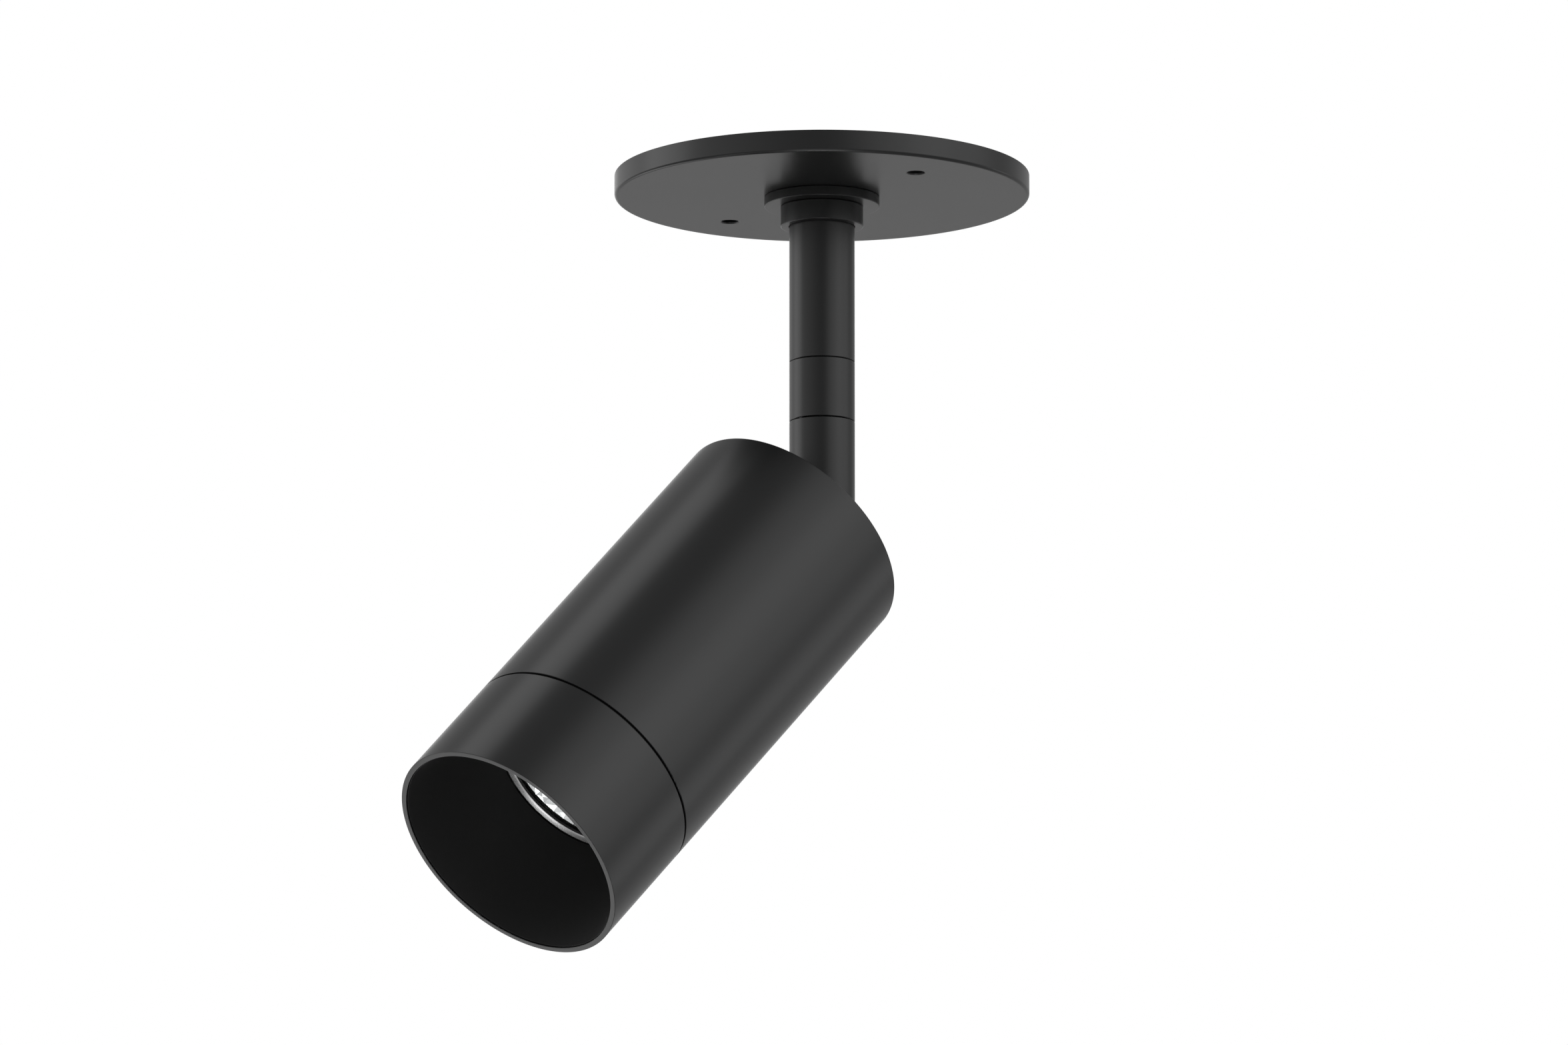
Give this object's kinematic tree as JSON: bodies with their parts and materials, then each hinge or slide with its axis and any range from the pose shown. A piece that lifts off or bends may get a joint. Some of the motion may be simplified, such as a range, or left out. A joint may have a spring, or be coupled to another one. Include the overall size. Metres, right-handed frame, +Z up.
{
  "type": "directional spotlight",
  "caption": "Black cylinder spotlight on a short stem: round ceiling canopy, stem that swivels, fork joint that tilts, and a deep snoot in front of the lens.",
  "frame": {"origin": "centre of the canopy's ceiling face, midway between its two fixing holes", "axes": "+Z up into the ceiling, +X along the line of the fixing holes, which is also the tilt axis; the head points down and towards -Y at rest"},
  "size_m": [0.127, 0.2111, 0.2489],
  "materials": {
    "black_coat": "fine satin black powder coat",
    "black_tube": "satin black coated steel tube",
    "matt_black": "matt black anodised",
    "black_plastic": "matt black moulding",
    "zinc": "bright zinc plated",
    "black_screw": "black oxide",
    "brass": "plain turned brass",
    "earth_green": "green passivated",
    "nylon": "natural nylon",
    "sink": "raw extruded",
    "case_white": "moulded",
    "terminal_white": "moulded",
    "board_white": "white solder mask",
    "phosphor": "silicone dome over the chips",
    "pad_grey": "soft thermal pad",
    "mirror_facets": "vacuum metallised facets",
    "clear_glass": "clear tempered",
    "bright_bezel": "bright turned",
    "black_rubber": "soft black"
  },
  "bodies": {
    "canopy": {"canopy_plate": "black_coat", "boss_flange": "black_coat", "stem_collar": "black_coat", "collar_set_screw": "black_screw", "hollow_nipple": "brass", "nipple_nut": "zinc", "lock_washer": "zinc", "earth_screw": "earth_green", "stem_tube": "black_tube", "swivel_housing": "black_tube"},
    "swivel": {"swivel_spindle": "zinc", "spindle_nut": "zinc", "flat_washer": "zinc", "spring_washer": "zinc", "thrust_washer": "nylon", "stop_pin": "zinc", "knuckle_fork": "black_tube", "pivot_bolt": "black_screw", "friction_washers": "nylon", "tilt_lock_screw": "black_screw"},
    "head": {"hinge_tongue": "black_tube", "foot_screws": "zinc", "rear_cap": "black_coat", "rear_cap_screws": "zinc", "barrel": "black_coat", "rear_tie_rods": "zinc", "driver_bracket": "zinc", "driver_case": "case_white", "driver_screws": "zinc", "terminal_block": "terminal_white", "front_tie_rods": "zinc", "heat_sink": "sink", "thermal_pad": "pad_grey", "led_board": "board_white", "led_emitter": "phosphor", "led_holder": "board_white", "led_holder_screws": "zinc", "lens_cell": "matt_black", "lens_cell_screws": "zinc", "reflector": "mirror_facets", "lens": "clear_glass", "lens_gasket": "black_rubber", "lens_bezel": "bright_bezel", "front_ring": "matt_black", "o_ring": "black_rubber"},
    "snoot": {"snoot_shell": "black_coat", "baffle_cone": "black_plastic"}
  },
  "joints": [
    {"name": "stem_swivel", "type": "hinge", "parent": "canopy", "child": "swivel", "pos_m": [0, 0, -0.0769], "axis": [0, 0, 1], "range_deg": [-170, 170]},
    {"name": "head_tilt", "type": "hinge", "parent": "swivel", "child": "head", "pos_m": [0, 0, -0.10135], "axis": [1, 0, 0], "range_deg": [-45, 45]},
    {"name": "snoot_pull", "type": "slide", "parent": "head", "child": "snoot", "axis": [0, -0.7071, -0.7071], "range_m": [0, 0.03]}
  ]
}
